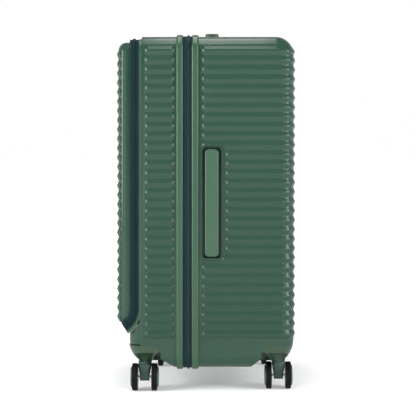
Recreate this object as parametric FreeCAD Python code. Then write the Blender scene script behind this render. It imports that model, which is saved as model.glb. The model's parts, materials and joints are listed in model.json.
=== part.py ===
"""Hard shell suitcase on wheels, one STEP file per sub-part, in millimetres.

+Z is up and the floor is Z = 0. The front pocket faces -Y, the trolley handle is at the back (+Y),
the side carry handle is on +X and the case opens like a book about its -X edge.
"""

import FreeCAD, Part
import math
import os

V = FreeCAD.Vector

# Case: smooth outer shape at the foot of the ribs
CASE_HALF_X = 208.0
CASE_FRONT_Y = -160.0
CASE_BACK_Y = 181.0
CASE_BOTTOM_Z = 50.0
CASE_TOP_Z = 731.5
BOTTOM_RADIUS = 60.0
TOP_RADIUS = 37.0
FRONT_TOP_RADIUS = 30.0
SIDE_RADIUS = 28.0
SHELL_WALL = 2.0
LINING_INSET = 7.0
LINING_WALL = 1.5

# Ribbed fields: raised panels as high as the ribs, one wall thick, hollow towards the inside
RIB_HEIGHT = 3.0
CASE_RIBS_Z = (111.5, 711.0)
REAR_RIBS_Y = (-9.0, 250.0)
FRONT_RIBS_Y = (-126.0, -64.5)
LID_RIBS_Z = (145.0, 704.0)
LID_RIBS_BACK_Y = -173.0
HANDLE_PAD = (27.5, 116.5, 15.0)
FOOT_PAD_RADIUS = 20.0

# Raised floor between the casters, and the wheel well round each: where its ramp starts and ends
RAISED_FLOOR_Z = 54.0
RAISED_FLOOR_Y = {"front": (-66.0, -74.0), "rear": (93.0, 101.0)}
WELL_RAMP_Z = 71.0
WELL_X = 119.0
WELL_RAMP_Y = {"front": (-63.0, -93.0), "rear": (90.0, 114.0)}

# Main opening: bumper frames and the zip between them
REAR_BUMPER_Y = (-29.5, -15.0)
FRONT_BUMPER_Y = (-61.0, -47.0)
BUMPER_PROUD = 4.0
BUMPER_EDGE_RADIUS = 3.5
SHELL_TONGUE = 6.5
PARTING_Y = -36.0
PARTING_GAP = 0.3
ZIP_PROUD = 1.0
ZIP_TAPE = 2.0
COIL_WIDTH = 2.4
COIL_HEIGHT = 1.9

# Front pocket: the zip bends forwards round one centre at the bottom of each side
POCKET_BEND_Y = -193.4
POCKET_BEND_Z = 173.4
LID_EDGE_R = 36.5
POCKET_COIL_R = 45.0
TAPE_EDGE_R = 56.2
SHELL_RIM_R = 61.5
POCKET_BEND_DEG = 57.0
POCKET_HALF_X = 203.0
POCKET_TOP_Z = 725.5
POCKET_RADIUS = 24.0

# Lid of the front pocket
LID_HALF_X = 198.0
LID_FRONT_Y = -181.0
LID_TOP_Z = 720.0
LID_BOTTOM_Z = 134.0
LID_CORNER_RADIUS = 24.0
LID_FACE_RADIUS = 16.0
LID_WALL = 2.0

# Casters
CASTER_X = 160.0
CASTER_Y = {"front": -127.0, "rear": 150.6}
WHEEL_RADIUS = 28.0
WHEEL_INNER_Y = 14.3
WHEEL_OUTER_Y = 26.0
WHEEL_DOME_Y = 28.9
TYRE_DEPTH = 6.5
CASTER_TRAIL = 12.0
AXLE_RADIUS = 3.0
KINGPIN_RADIUS = 4.0
PIN_CLEARANCE = 0.05
FORK_TOP_Z = 58.6
HOUSING_X = (139.0, 208.0)
HOUSING_Y = {"front": (-160.0, -93.0), "rear": (114.0, 181.0)}
HOUSING_TOP_Z = 97.0
HOUSING_BAND_Z = 84.0
HOUSING_NECK_Z = 59.2
HOUSING_NECK_RADIUS = 15.0
HOUSING_CORNER_RADIUS = 16.0
HOUSING_GAP = 0.25
HOUSING_WALL = 3.0
FUNNEL_SPARE = 4.0

# Trolley: three telescoping stages
TROLLEY_X = 85.0
TROLLEY_Y = 152.0
OUTER_TUBE = (24.0, 14.0)
TUBE_WALL = 1.2
TUBE_GAP = 0.3
TUBE_RADIUS = 3.0
RECESS_FLOOR_Z = 700.0
FOOT_SCREW_Z = 60.0
GRIP_HALF_X = 100.0
GRIP_Y = (140.5, 163.5)
GRIP_BOTTOM_Z = 712.0
RECESS_HALF_X = 103.0
RECESS_Y = (122.0, 166.5)
BUTTON_HALF_X = 15.0
BUTTON_HALF_Y = 5.5
BUTTON_GAP = 0.4

# Carry handles
HANDLE_CENTRE_Y = 12.0
SIDE_HANDLE_Z = 390.0
SIDE_CROWN = 8.0
TOP_CROWN = 11.5
HANDLE_HALF_LENGTH = 110.5
HANDLE_HALF_WIDTH = 14.2
HANDLE_DEPTH = 14.0
COVER_HALF_LENGTH = 110.0
COVER_HALF_WIDTH = 13.9
COVER_DEPTH = 4.0
LEG_AT = 97.0
LEG_HALF = (6.5, 6.0)
LEG_END = -42.0
LEG_GAP = 0.4
TRAY_FLOOR = -18.0
TRAY_HALF = (19.5, 113.5)
TRAY_WALL = 2.0
TRAY_FLANGE = (2.4, 0.8)
GUIDE_END = -46.0

# Lock, on the top of the front half
LOCK_HALF_X = 34.0
LOCK_Y = (-122.0, -72.0)
LOCK_Z = (714.0, 735.0)
DIAL_X = (-13.0, -5.0, 3.0)
DIAL_RADIUS = 9.0
DIAL_HALF_WIDTH = 2.5
DIAL_Y = -96.0
DIAL_Z = 727.5
DIAL_GAP = 0.4
KEY_X = 22.0
KEY_RADIUS = 5.5
LOCK_BUTTON_X = -25.5
LOCK_BUTTON_HALF = (4.5, 6.0)
LOCK_BUTTON_TRAVEL = 4.0

# Zip sliders
SLIDER_X = 34.0
SLIDER_HALF = (9.0, 6.0)
SLIDER_GAP = 0.5
PULL_LENGTH = 26.0
PULL_BAR_RADIUS = 1.0
PULL_DROOP_DEG = 8.0

# Side feet on the hinge side
FOOT_HEIGHT = 8.0
FOOT_RADIUS = 13.0
FOOT_Z = (190.0, 590.0)
FOOT_Y = {"front": -96.0, "rear": 124.0}


# ---------------------------------------------------------------- helpers

def box(x0, x1, y0, y1, z0, z1):
    """A box between opposite corners, given in either order."""
    low = V(min(x0, x1), min(y0, y1), min(z0, z1))
    return Part.makeBox(abs(x1 - x0), abs(y1 - y0), abs(z1 - z0), low)


def cylinder(radius, start, end):
    """A round bar from one point to another."""
    along = end - start
    return Part.makeCylinder(radius, along.Length, start, along)


def fuse(shapes):
    """One solid from several that touch."""
    joined = shapes[0].multiFuse(shapes[1:])
    return joined.removeSplitter()


def rounded_outline(points, radii, place):
    """A closed wire through 2-D points with round corners; place turns (u, v) into a 3-D point."""
    starts, middles, ends = [], [], []
    count = len(points)
    for i, (u, v) in enumerate(points):
        before = FreeCAD.Vector(points[i - 1][0] - u, points[i - 1][1] - v, 0)
        after_u, after_v = points[(i + 1) % count]
        after = FreeCAD.Vector(after_u - u, after_v - v, 0)
        before.normalize()
        after.normalize()
        half = before.getAngle(after) / 2
        reach = radii[i] / math.tan(half)
        bisector = before + after
        bisector.normalize()
        to_arc = radii[i] / math.sin(half) - radii[i]
        corner = FreeCAD.Vector(u, v, 0)
        starts.append(corner + before * reach)
        middles.append(corner + bisector * to_arc)
        ends.append(corner + after * reach)
    edges = []
    for i in range(count):
        start, middle, end = (place(p.x, p.y) for p in (starts[i], middles[i], ends[i]))
        if radii[i] > 0:
            edges.append(Part.Arc(start, middle, end).toShape())
        following = starts[(i + 1) % count]
        next_start = place(following.x, following.y)
        if (next_start - end).Length > 1e-6:
            edges.append(Part.LineSegment(end, next_start).toShape())
    return Part.Wire(edges)


def extrude(wire, along):
    return Part.Face(wire).extrude(along)


def plate_xz(x0, x1, z0, z1, radius, y0, y1):
    """A rounded rectangle seen from the front, as thick as y0 to y1."""
    points = [(x0, z0), (x1, z0), (x1, z1), (x0, z1)]
    wire = rounded_outline(points, [radius] * 4, lambda u, v: V(u, y0, v))
    return extrude(wire, V(0, y1 - y0, 0))


def plate_xy(x0, x1, y0, y1, radius, z0, z1):
    """A rounded rectangle seen from above, as tall as z0 to z1."""
    points = [(x0, y0), (x1, y0), (x1, y1), (x0, y1)]
    wire = rounded_outline(points, [radius] * 4, lambda u, v: V(u, v, z0))
    return extrude(wire, V(0, 0, z1 - z0))


def prism_x(points, radii, x0, x1):
    """A side view outline of (y, z) points, as wide as x0 to x1."""
    wire = rounded_outline(points, radii, lambda u, v: V(x0, u, v))
    return extrude(wire, V(x1 - x0, 0, 0))


def edges_at(shape, coordinate, value):
    """The edges that lie wholly in the plane coordinate = value."""
    names = {"x": ("XMin", "XMax"), "y": ("YMin", "YMax"), "z": ("ZMin", "ZMax")}[coordinate]
    found = []
    for edge in shape.Edges:
        bounds = edge.BoundBox
        if all(abs(getattr(bounds, name) - value) < 0.01 for name in names):
            found.append(edge)
    return found


def rib_field(raised, depths, heights, inset=0.0):
    """The part of a raised shape between two depths and two heights, less an inset at each end."""
    y0, y1 = depths
    z0, z1 = heights
    return raised.common(box(-300, 300, y0 + inset, y1 - inset, z0 + inset, z1 - inset))


def mirrored_x(shape):
    return shape.mirror(V(0, 0, 0), V(1, 0, 0))


# ---------------------------------------------------------------- case shapes

def ramp_prism(ramp_y, end_y, top_z, x0, x1):
    """The space under a floor that ramps up to top_z and runs on level to one end."""
    start, top = ramp_y
    points = [(start, CASE_BOTTOM_Z - 30), (start, CASE_BOTTOM_Z), (top, top_z),
              (end_y, top_z), (end_y, CASE_BOTTOM_Z - 30)]
    return prism_x(points, [0] * len(points), x0, x1)


def floor_cutter(row, grow):
    """The space under the raised floor at one end and in its two wheel wells, for a case grown by grow."""
    end_y = CASE_BACK_Y + 20 if row == "rear" else CASE_FRONT_Y - 20
    far_x = CASE_HALF_X + 20
    middle = ramp_prism(RAISED_FLOOR_Y[row], end_y, RAISED_FLOOR_Z, -far_x, far_x)
    wells = []
    for side in (-1, 1):
        x0, x1 = sorted((side * (WELL_X + grow), side * far_x))
        wells.append(ramp_prism(WELL_RAMP_Y[row], end_y, WELL_RAMP_Z, x0, x1))
    space = fuse([middle] + wells)
    space.translate(V(0, 0, -grow))
    return space


def case_body(grow, wells=True):
    """The whole smooth case, grown outwards by grow, with round edges, raised floors and wheel wells."""
    points = [(CASE_FRONT_Y - grow, CASE_BOTTOM_Z - grow), (CASE_BACK_Y + grow, CASE_BOTTOM_Z - grow),
              (CASE_BACK_Y + grow, CASE_TOP_Z + grow), (CASE_FRONT_Y - grow, CASE_TOP_Z + grow)]
    radii = [BOTTOM_RADIUS + grow, BOTTOM_RADIUS + grow, TOP_RADIUS + grow, FRONT_TOP_RADIUS + grow]
    half = CASE_HALF_X + grow
    body = prism_x(points, radii, -half, half)
    side_edges = edges_at(body, "x", half) + edges_at(body, "x", -half)
    body = body.makeFillet(SIDE_RADIUS + grow, side_edges)
    if not wells:
        return body
    return body.cut(floor_cutter("rear", grow)).cut(floor_cutter("front", grow))


def case_section(grow, y0, y1):
    """A slice of the case where it is the same all the way, between the two halves."""
    half = CASE_HALF_X + grow
    return plate_xz(-half, half, CASE_BOTTOM_Z - grow, CASE_TOP_Z + grow, SIDE_RADIUS + grow, y0, y1)


def case_ring(outer, inner, y0, y1):
    return case_section(outer, y0, y1).cut(case_section(inner, y0 - 1, y1 + 1))


def pocket_zone(radius, end_deg, start_deg=None):
    """All that lies in front of a line that runs down at one distance from the bend and round it.

    With start_deg, only the wedge of the bend between the two angles, out to radius.
    """
    def at(r, degrees):
        angle = math.radians(degrees)
        return V(0, POCKET_BEND_Y + r * math.cos(angle), POCKET_BEND_Z - r * math.sin(angle))

    first = 0.0 if start_deg is None else start_deg
    arc = Part.Arc(at(radius, first), at(radius, (first + end_deg) / 2), at(radius, end_deg)).toShape()
    corner = V(0, POCKET_BEND_Y, POCKET_BEND_Z)
    if start_deg is None:
        above = V(0, POCKET_BEND_Y + radius, CASE_TOP_Z + 40)
        front_above = V(0, POCKET_BEND_Y - 20, CASE_TOP_Z + 40)
        front_level = V(0, POCKET_BEND_Y - 20, POCKET_BEND_Z)
        around = [at(radius, end_deg), corner, front_level, front_above, above, at(radius, 0)]
    else:
        around = [at(radius, end_deg), corner, at(radius, first)]
    lines = [Part.LineSegment(a, b).toShape() for a, b in zip(around, around[1:])]
    face = Part.Face(Part.Wire([arc] + lines))
    half = CASE_HALF_X + 20
    face.translate(V(-half, 0, 0))
    return face.extrude(V(2 * half, 0, 0))


def front_space(radius):
    """Everything in front of the pocket line, down to the end of the bend and straight forwards from it."""
    end = math.radians(POCKET_BEND_DEG)
    low_z = POCKET_BEND_Z - radius * math.sin(end)
    low_y = POCKET_BEND_Y + radius * math.cos(end)
    half = CASE_HALF_X + 20
    below = box(-half, half, POCKET_BEND_Y - 20, low_y, low_z, POCKET_BEND_Z)
    return fuse([pocket_zone(radius, POCKET_BEND_DEG), below])


def pocket_block(grow):
    """The rounded block whose sides the pocket zip runs round, grown by grow."""
    half = POCKET_HALF_X + grow
    return plate_xz(-half, half, 100 - grow, POCKET_TOP_Z + grow, POCKET_RADIUS + grow, -215, -100)


def pocket_band(inner_r, outer_r, grow, wall):
    """A strip round the pocket, between two distances from the bend, closed across the bottom."""
    strip = pocket_zone(outer_r, POCKET_BEND_DEG).cut(pocket_zone(inner_r, POCKET_BEND_DEG + 8))
    ring = strip.common(pocket_block(grow).cut(pocket_block(grow - wall)))
    end_deg = POCKET_BEND_DEG
    start_deg = end_deg - math.degrees(wall / outer_r)
    wedge = pocket_zone(outer_r, end_deg, start_deg).cut(pocket_zone(inner_r, end_deg + 8, start_deg - 8))
    return fuse([ring, wedge.common(pocket_block(grow))])


# ---------------------------------------------------------------- casters

def housing_outline(row, gap):
    """Side view of the block that a caster housing fills, with a gap all round for its pocket."""
    inner, outer = HOUSING_Y[row] if row == "rear" else HOUSING_Y[row][::-1]
    away = 1 if row == "rear" else -1
    inner -= away * gap
    outer += away * 20
    top = HOUSING_TOP_Z + gap
    points = [(inner, 30), (inner, top), (outer, top), (outer, 30)]
    radii = [0, HOUSING_CORNER_RADIUS + gap, 0, 0]
    if row == "front":
        points.reverse()
        radii.reverse()
    return points, radii


def housing_block(row, gap):
    points, radii = housing_outline(row, gap)
    return prism_x(points, radii, HOUSING_X[0] - gap, HOUSING_X[1] + 20)


def funnel_section(row, z, share):
    """Rounded rectangle of the funnel; share 0 is the full housing and 1 is the round neck.

    The full size reaches past the case on its two outer sides, where the case trims it.
    """
    y0, y1 = HOUSING_Y[row]
    if row == "front":
        y0 -= FUNNEL_SPARE
    else:
        y1 += FUNNEL_SPARE
    sides = []
    x_range = (HOUSING_X[0], HOUSING_X[1] + FUNNEL_SPARE, CASTER_X)
    for low, high, centre in (x_range, (y0, y1, CASTER_Y[row])):
        neck_low = centre - HOUSING_NECK_RADIUS
        neck_high = centre + HOUSING_NECK_RADIUS
        sides.append((low + share * (neck_low - low), high + share * (neck_high - high)))
    (x0, x1), (y0, y1) = sides
    radius = 10 + share * (HOUSING_NECK_RADIUS - 10.02)
    points = [(x0, y0), (x1, y0), (x1, y1), (x0, y1)]
    return rounded_outline(points, [radius] * 4, lambda u, v: V(u, v, z))


def caster_housing(row, case):
    """Corner moulding on +X that carries one caster: a band flush with the case over a funnel."""
    block = housing_block(row, 0).common(box(0, 300, -300, 300, HOUSING_BAND_Z, HOUSING_TOP_Z))
    heights = (HOUSING_BAND_Z, (HOUSING_BAND_Z + HOUSING_NECK_Z) / 2, HOUSING_NECK_Z)
    shares = (0.0, 0.72, 1.0)
    funnel = Part.makeLoft([funnel_section(row, z, s) for z, s in zip(heights, shares)], True, False)
    outside = block.common(case).fuse(funnel.common(case_body(0, wells=False))).removeSplitter()
    y0, y1 = HOUSING_Y[row]
    room = plate_xy(HOUSING_X[0] + 3, HOUSING_X[1] - 6, y0 + 6, y1 - 6, 8,
                    HOUSING_BAND_Z - 1, HOUSING_TOP_Z + 1)
    room = room.common(case_body(-HOUSING_WALL))
    centre = V(CASTER_X, CASTER_Y[row], 0)
    boss = cylinder(13, centre + V(0, 0, HOUSING_NECK_Z), centre + V(0, 0, HOUSING_BAND_Z + 1))
    bore = cylinder(KINGPIN_RADIUS + PIN_CLEARANCE, centre, centre + V(0, 0, HOUSING_TOP_Z))
    return outside.cut(room.cut(boss)).cut(bore)


def caster_screws(row):
    """Two screws on +X that hold a housing up against the roof of its pocket."""
    y0, y1 = HOUSING_Y[row]
    roof = HOUSING_TOP_Z + HOUSING_GAP + SHELL_WALL
    inner_y = y0 + 22 if row == "rear" else y1 - 22
    outer_y = y1 - 12 if row == "rear" else y0 + 20
    places = [(HOUSING_X[0] + 7, inner_y), (HOUSING_X[0] + 7, outer_y)]
    screws = []
    for x, y in places:
        shaft = cylinder(1.8, V(x, y, HOUSING_BAND_Z - 4), V(x, y, roof + 0.5))
        head = cylinder(3.6, V(x, y, roof), V(x, y, roof + 2.2))
        screws.append(fuse([shaft, head]))
    return screws


def caster_parts(row, side):
    """Fork, pins and two wheels of one caster, with the wheels in line with X."""
    trail = CASTER_TRAIL if row == "front" else -CASTER_TRAIL
    centre = V(side * CASTER_X, CASTER_Y[row], 0)
    axle = V(trail, 0, WHEEL_RADIUS)

    lean = 1 if trail > 0 else -1

    def fork_section(z, x_low, x_high, half_y, radius):
        ends = sorted((lean * x_low, lean * x_high))
        points = [(ends[0], -half_y), (ends[1], -half_y), (ends[1], half_y), (ends[0], half_y)]
        return rounded_outline(points, [radius] * 4, lambda u, v: V(u, v, z))

    root = fork_section(54.0, -13, 17, 14.0, 6)
    tip = fork_section(WHEEL_RADIUS, 3.5, 20.5, 9.7, 4)
    leg = Part.makeLoft([root, tip], True, True)
    disc = cylinder(13.8, V(0, 0, 50), V(0, 0, FORK_TOP_Z))
    boss = cylinder(8, axle + V(0, -9.7, 0), axle + V(0, 9.7, 0))
    axle_hole = cylinder(AXLE_RADIUS, axle + V(0, -30, 0), axle + V(0, 30, 0))
    kingpin_hole = cylinder(KINGPIN_RADIUS, V(0, 0, 44), V(0, 0, 70))
    fork = fuse([leg, disc, boss]).cut(axle_hole).cut(kingpin_hole)

    axle_pin = cylinder(AXLE_RADIUS, axle + V(0, -WHEEL_OUTER_Y, 0), axle + V(0, WHEEL_OUTER_Y, 0))
    kingpin = cylinder(KINGPIN_RADIUS, V(0, 0, 44), V(0, 0, HOUSING_BAND_Z + 3))
    kingpin_head = cylinder(7, V(0, 0, HOUSING_BAND_Z + 1.4), V(0, 0, HOUSING_BAND_Z + 4))
    pins = [axle_pin, fuse([kingpin, kingpin_head])]

    def wheel(way):
        """Tyre, hub and cap of one wheel; way is +1 or -1 along Y."""
        def at(y):
            return axle + V(0, way * y, 0)

        rim = WHEEL_RADIUS - TYRE_DEPTH
        tyre = cylinder(WHEEL_RADIUS, at(WHEEL_INNER_Y), at(WHEEL_OUTER_Y))
        shoulders = edges_at(tyre, "y", way * WHEEL_OUTER_Y) + edges_at(tyre, "y", way * WHEEL_INNER_Y)
        tyre = tyre.makeFillet(2.5, shoulders)
        tyre = tyre.cut(cylinder(rim, at(WHEEL_INNER_Y - 1), at(WHEEL_OUTER_Y + 1)))
        hub = cylinder(rim, at(WHEEL_INNER_Y), at(WHEEL_OUTER_Y))
        hub = hub.cut(cylinder(AXLE_RADIUS + PIN_CLEARANCE, at(WHEEL_INNER_Y - 1), at(WHEEL_OUTER_Y + 1)))
        cap = cylinder(rim - 0.5, at(WHEEL_OUTER_Y), at(WHEEL_DOME_Y))
        cap = cap.makeFillet(2.4, edges_at(cap, "y", way * WHEEL_DOME_Y))
        cap = cap.cut(cylinder(AXLE_RADIUS + 0.5, at(WHEEL_OUTER_Y - 1), at(WHEEL_OUTER_Y + 0.8)))
        return [tyre, hub, cap]

    parts = {"fork": [fork], "pins": pins, "wheel_fore": wheel(-1), "wheel_aft": wheel(1)}
    for shapes in parts.values():
        for shape in shapes:
            shape.translate(centre)
    return parts


# ---------------------------------------------------------------- carry handles

def local_plate(half_v, half_w, radius, u0, u1):
    """A rounded plate across a handle: u outwards, v across and w along the handle."""
    points = [(-half_v, -half_w), (half_v, -half_w), (half_v, half_w), (-half_v, half_w)]
    wire = rounded_outline(points, [radius] * 4, lambda v, w: V(u0, v, w))
    return extrude(wire, V(u1 - u0, 0, 0))


def handle_grip(crown):
    """Core with two legs, and the cover that caps its outer face."""
    bar = local_plate(HANDLE_HALF_WIDTH, HANDLE_HALF_LENGTH, 9, crown - HANDLE_DEPTH, crown - COVER_DEPTH)
    bar = bar.makeFillet(3.5, edges_at(bar, "x", crown - HANDLE_DEPTH))
    legs = []
    half_v, half_w = LEG_HALF
    for w in (-LEG_AT, LEG_AT):
        legs.append(box(LEG_END, crown - HANDLE_DEPTH + 2, -half_v, half_v, w - half_w, w + half_w))
    cover = local_plate(COVER_HALF_WIDTH, COVER_HALF_LENGTH, 8.7, crown - COVER_DEPTH, crown)
    cover = cover.makeFillet(2.5, edges_at(cover, "x", crown))
    return fuse([bar] + legs), cover


def handle_tray():
    """Dish in the shell under a handle, with a blind guide for each leg and a thin flange outside."""
    half_v, half_w = TRAY_HALF
    flange_width, flange_height = TRAY_FLANGE
    dish = local_plate(half_v + TRAY_WALL, half_w + TRAY_WALL, 10, TRAY_FLOOR - TRAY_WALL, 0)
    flange = local_plate(half_v + flange_width, half_w + flange_width, 10.4, 0, flange_height)
    flange = flange.makeFillet(0.6, edges_at(flange, "x", flange_height))
    shapes = [dish, flange]
    for w in (-LEG_AT, LEG_AT):
        guide = box(GUIDE_END - 2, TRAY_FLOOR, -LEG_HALF[0] - 3, LEG_HALF[0] + 3,
                    w - LEG_HALF[1] - 3, w + LEG_HALF[1] + 3)
        shapes.append(guide)
    tray = fuse(shapes)
    room = local_plate(half_v, half_w, 8, TRAY_FLOOR, flange_height + 5)
    tray = tray.cut(room)
    for w in (-LEG_AT, LEG_AT):
        reach_v = LEG_HALF[0] + LEG_GAP
        reach_w = LEG_HALF[1] + LEG_GAP
        tray = tray.cut(box(GUIDE_END, TRAY_FLOOR + 5, -reach_v, reach_v, w - reach_w, w + reach_w))
    return tray


def handle_hole(grow):
    """What a tray takes out of the shell, and with grow what it takes out of the lining."""
    half_v, half_w = TRAY_HALF
    reach = TRAY_WALL + grow
    return local_plate(half_v + reach, half_w + reach, 10 + grow, GUIDE_END - 2 - grow, 0.5)


def side_handle_place(shape):
    placed = shape.copy()
    placed.translate(V(CASE_HALF_X, HANDLE_CENTRE_Y, SIDE_HANDLE_Z))
    return placed


def top_handle_place(shape):
    placed = shape.copy()
    placed.rotate(V(0, 0, 0), V(0, 1, 0), -90)
    placed.translate(V(0, HANDLE_CENTRE_Y, CASE_TOP_Z))
    return placed


# ---------------------------------------------------------------- trolley

def tube_pair(stage, z0, z1):
    """Two rounded rectangular tubes of one stage: 0 is the outer and 2 the inner."""
    shrink = stage * 2 * (TUBE_WALL + TUBE_GAP)
    half_x = (OUTER_TUBE[0] - shrink) / 2
    half_y = (OUTER_TUBE[1] - shrink) / 2
    radius = TUBE_RADIUS - stage * 0.8
    tubes = []
    for x in (-TROLLEY_X, TROLLEY_X):
        outer = plate_xy(x - half_x, x + half_x, TROLLEY_Y - half_y, TROLLEY_Y + half_y, radius, z0, z1)
        inside = TUBE_WALL
        bore = plate_xy(x - half_x + inside, x + half_x - inside, TROLLEY_Y - half_y + inside,
                        TROLLEY_Y + half_y - inside, radius - 0.6, z0 - 1, z1 + 1)
        tubes.append(outer.cut(bore))
    return tubes


def tube_blocks(stage, grow, z0, z1):
    """Solid bars of a stage's outside size, for cutting holes."""
    shrink = stage * 2 * (TUBE_WALL + TUBE_GAP)
    half_x = (OUTER_TUBE[0] - shrink) / 2 + grow
    half_y = (OUTER_TUBE[1] - shrink) / 2 + grow
    radius = TUBE_RADIUS - stage * 0.8 + grow
    bars = []
    for x in (-TROLLEY_X, TROLLEY_X):
        bars.append(plate_xy(x - half_x, x + half_x, TROLLEY_Y - half_y, TROLLEY_Y + half_y,
                             radius, z0, z1))
    return Part.makeCompound(bars)


def trolley_parts(case):
    flange_x = RECESS_HALF_X + 15
    cup = plate_xy(-RECESS_HALF_X - 8, RECESS_HALF_X + 8, RECESS_Y[0] - 4, RECESS_Y[1] + 4, 9, 692, 760)
    flange_shape = case_body(1.2).cut(case)
    flange = plate_xy(-flange_x, flange_x, RECESS_Y[0] - 9, RECESS_Y[1] + 7, 12, 700, 760)
    flange = flange.common(flange_shape)
    recess = plate_xy(-RECESS_HALF_X, RECESS_HALF_X, RECESS_Y[0], RECESS_Y[1], 7, RECESS_FLOOR_Z, 760)
    housing = fuse([cup.common(case), flange]).cut(recess).cut(tube_blocks(0, 0, 600, 760))

    outer = tube_pair(0, 70, RECESS_FLOOR_Z)
    foot = plate_xy(-103, 103, TROLLEY_Y - 10, TROLLEY_Y + 10, 4, CASE_BOTTOM_Z, 84)
    foot = foot.common(case_body(-SHELL_WALL - HOUSING_GAP)).cut(tube_blocks(0, 0, 70, 90))
    middle = tube_pair(1, 88, RECESS_FLOOR_Z + 4)
    inner = tube_pair(2, 108, GRIP_BOTTOM_Z + 5)

    grip_body = plate_xy(-GRIP_HALF_X, GRIP_HALF_X, GRIP_Y[0], GRIP_Y[1], 8, GRIP_BOTTOM_Z, 760)
    grip_body = grip_body.common(case_body(-1.0))
    grip_body = grip_body.makeFillet(3, edges_at(grip_body, "z", GRIP_BOTTOM_Z))
    reach_x = BUTTON_HALF_X + BUTTON_GAP
    reach_y = BUTTON_HALF_Y + BUTTON_GAP
    pocket = plate_xy(-reach_x, reach_x, TROLLEY_Y - reach_y, TROLLEY_Y + reach_y, 4, 716, 760)
    grip = grip_body.cut(tube_blocks(2, 0, 700, GRIP_BOTTOM_Z + 5)).cut(pocket)
    button = plate_xy(-BUTTON_HALF_X, BUTTON_HALF_X, TROLLEY_Y - BUTTON_HALF_Y, TROLLEY_Y + BUTTON_HALF_Y,
                      3.6, 721, 760)
    button = button.common(case_body(-0.4))
    return {"trolley_housing": [housing], "trolley_outer_tubes": outer, "trolley_foot": [foot],
            "trolley_middle_tubes": middle, "trolley_inner_tubes": inner, "trolley_grip": [grip],
            "trolley_button": [button]}, cup


# ---------------------------------------------------------------- lock and zips

def lock_parts():
    body = plate_xy(-LOCK_HALF_X, LOCK_HALF_X, LOCK_Y[0], LOCK_Y[1], 6, LOCK_Z[0], LOCK_Z[1])
    body = body.makeFillet(2, edges_at(body, "z", LOCK_Z[1]))
    lip = plate_xy(-LOCK_HALF_X - 3, LOCK_HALF_X + 3, LOCK_Y[0] - 3, LOCK_Y[1] + 3, 9,
                   CASE_TOP_Z, CASE_TOP_Z + 1.2)
    body = fuse([body, lip])
    parts = {}
    for number, x in enumerate(DIAL_X, 1):
        half = DIAL_HALF_WIDTH
        slot = cylinder(DIAL_RADIUS + DIAL_GAP, V(x - half - DIAL_GAP, DIAL_Y, DIAL_Z),
                        V(x + half + DIAL_GAP, DIAL_Y, DIAL_Z))
        body = body.cut(slot)
        dial = cylinder(DIAL_RADIUS, V(x - half, DIAL_Y, DIAL_Z), V(x + half, DIAL_Y, DIAL_Z))
        dial = dial.makeFillet(0.6, edges_at(dial, "x", x - half) + edges_at(dial, "x", x + half))
        dial = dial.cut(cylinder(1.55, V(x - 9, DIAL_Y, DIAL_Z), V(x + 9, DIAL_Y, DIAL_Z)))
        parts[f"lock_dial_{number}"] = [dial]
    shaft = cylinder(1.5, V(DIAL_X[0] - 5, DIAL_Y, DIAL_Z), V(DIAL_X[-1] + 5, DIAL_Y, DIAL_Z))
    body = fuse([body, shaft])

    key_hole = cylinder(KEY_RADIUS + 0.06, V(KEY_X, DIAL_Y, 720), V(KEY_X, DIAL_Y, 740))
    body = body.cut(key_hole)
    key = cylinder(KEY_RADIUS, V(KEY_X, DIAL_Y, 720.4), V(KEY_X, DIAL_Y, LOCK_Z[1] + 0.4))
    keyway = box(KEY_X - 0.6, KEY_X + 0.6, DIAL_Y - 3, DIAL_Y + 3, LOCK_Z[1] - 7, LOCK_Z[1] + 1)
    parts["key_cylinder"] = [key.cut(keyway)]

    half_x, half_y = LOCK_BUTTON_HALF
    button_y = DIAL_Y - LOCK_BUTTON_TRAVEL / 2
    track = box(LOCK_BUTTON_X - half_x - 0.4, LOCK_BUTTON_X + half_x + 0.4, button_y - half_y - 0.4,
                button_y + half_y + LOCK_BUTTON_TRAVEL + 0.4, 727, 740)
    body = body.cut(track)
    button = plate_xy(LOCK_BUTTON_X - half_x, LOCK_BUTTON_X + half_x, button_y - half_y, button_y + half_y,
                      1.2, 727.4, LOCK_Z[1] + 1.2)
    for step in range(3):
        y = button_y - 3 + 3 * step
        button = button.cut(box(LOCK_BUTTON_X - 3.4, LOCK_BUTTON_X + 3.4, y - 0.5, y + 0.5,
                                LOCK_Z[1] + 0.6, 740))
    parts["lock_button"] = [button]

    for x in (-10, 10):
        body = body.cut(box(x - 3, x + 3, LOCK_Y[1] - 9, LOCK_Y[1] + 5, CASE_TOP_Z - 4, CASE_TOP_Z - 1))
    parts["lock_body"] = [body]
    return parts


def zip_slider(side, centre_y, coil_top, flange_way):
    """A slider over the coil, gripping the tape on one side of it only, with a loop for its pull."""
    x = side * SLIDER_X
    half_x, half_y = SLIDER_HALF
    low = coil_top + SLIDER_GAP
    top = plate_xy(x - half_x, x + half_x, centre_y - half_y, centre_y + half_y, 3, low, low + 2.2)
    inner_y = centre_y + flange_way * 3.4
    outer_y = centre_y + flange_way * half_y
    flange = box(x - half_x + 3, x + half_x - 3, inner_y, outer_y, coil_top - COIL_HEIGHT + 0.4, low + 0.5)
    bar_z = low + 5.0
    posts = []
    for way in (-1, 1):
        posts.append(box(x - 2, x + 2, centre_y + way * 2.6, centre_y + way * 4.4, low + 1, bar_z + 1.4))
    bar = cylinder(PULL_BAR_RADIUS, V(x, centre_y - 4.0, bar_z), V(x, centre_y + 4.0, bar_z))
    return fuse([top, flange, bar] + posts)


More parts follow.
